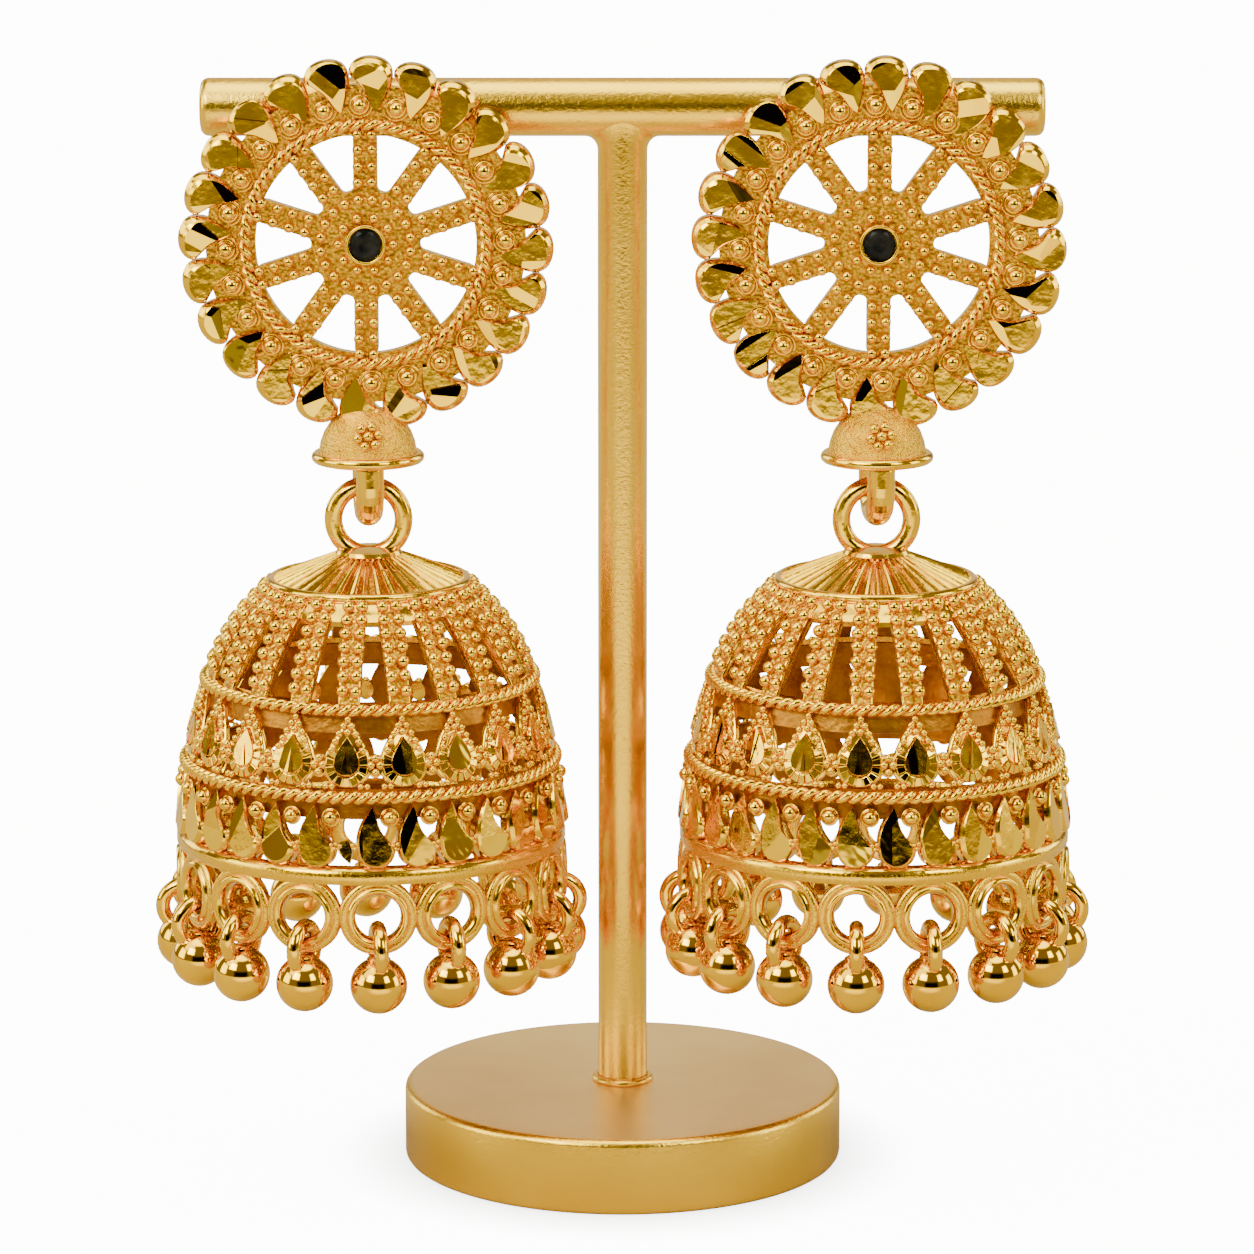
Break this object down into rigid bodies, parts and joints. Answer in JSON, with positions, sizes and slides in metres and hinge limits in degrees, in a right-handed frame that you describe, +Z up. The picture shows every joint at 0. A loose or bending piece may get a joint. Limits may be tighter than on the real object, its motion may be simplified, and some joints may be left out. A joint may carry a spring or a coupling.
{
  "type": "pair of jhumka earrings on a t-bar stand",
  "caption": "Gold jhumka earrings with a pierced wheel stud, hook, swinging filigree bell and ball drops, hung as a pair on a T-bar display stand.",
  "frame": {"origin": "centre of the stand base's underside, where it rests", "axes": "+Z up along the post, +X to the viewer's right along the crossbar, the earrings face the viewer at -Y"},
  "size_m": [0.0673, 0.0342, 0.0808],
  "materials": {
    "earring_gold": "bright yellow gold, polished and pierced",
    "drop_gold": "mirror-polished yellow gold",
    "stand_gold": "satin champagne gold",
    "black_stone": "polished black faceted stone"
  },
  "bodies": {
    "stand": {"stand_base": "stand_gold", "stand_tee": "stand_gold", "left_stud": "earring_gold", "left_stone": "black_stone", "left_screw_back": "earring_gold", "right_stud": "earring_gold", "right_stone": "black_stone", "right_screw_back": "earring_gold"},
    "left_bell": {"left_bell": "earring_gold", "left_drop_01": "drop_gold", "left_drop_02": "drop_gold", "left_drop_03": "drop_gold", "left_drop_04": "drop_gold", "left_drop_05": "drop_gold", "left_drop_06": "drop_gold", "left_drop_07": "drop_gold", "left_drop_08": "drop_gold", "left_drop_09": "drop_gold", "left_drop_10": "drop_gold", "left_drop_11": "drop_gold", "left_drop_12": "drop_gold", "left_drop_13": "drop_gold", "left_drop_14": "drop_gold", "left_drop_15": "drop_gold", "left_drop_16": "drop_gold"},
    "right_bell": {"right_bell": "earring_gold", "right_drop_01": "drop_gold", "right_drop_02": "drop_gold", "right_drop_03": "drop_gold", "right_drop_04": "drop_gold", "right_drop_05": "drop_gold", "right_drop_06": "drop_gold", "right_drop_07": "drop_gold", "right_drop_08": "drop_gold", "right_drop_09": "drop_gold", "right_drop_10": "drop_gold", "right_drop_11": "drop_gold", "right_drop_12": "drop_gold", "right_drop_13": "drop_gold", "right_drop_14": "drop_gold", "right_drop_15": "drop_gold", "right_drop_16": "drop_gold"}
  },
  "joints": [
    {"name": "left_swing", "type": "hinge", "parent": "stand", "child": "left_bell", "pos_m": [-0.0181, -0.0028, 0.05025], "axis": [1, 0, 0], "range_deg": [-60, 60]},
    {"name": "right_swing", "type": "hinge", "parent": "stand", "child": "right_bell", "pos_m": [0.0181, -0.0028, 0.05025], "axis": [1, 0, 0], "range_deg": [-60, 60]}
  ]
}
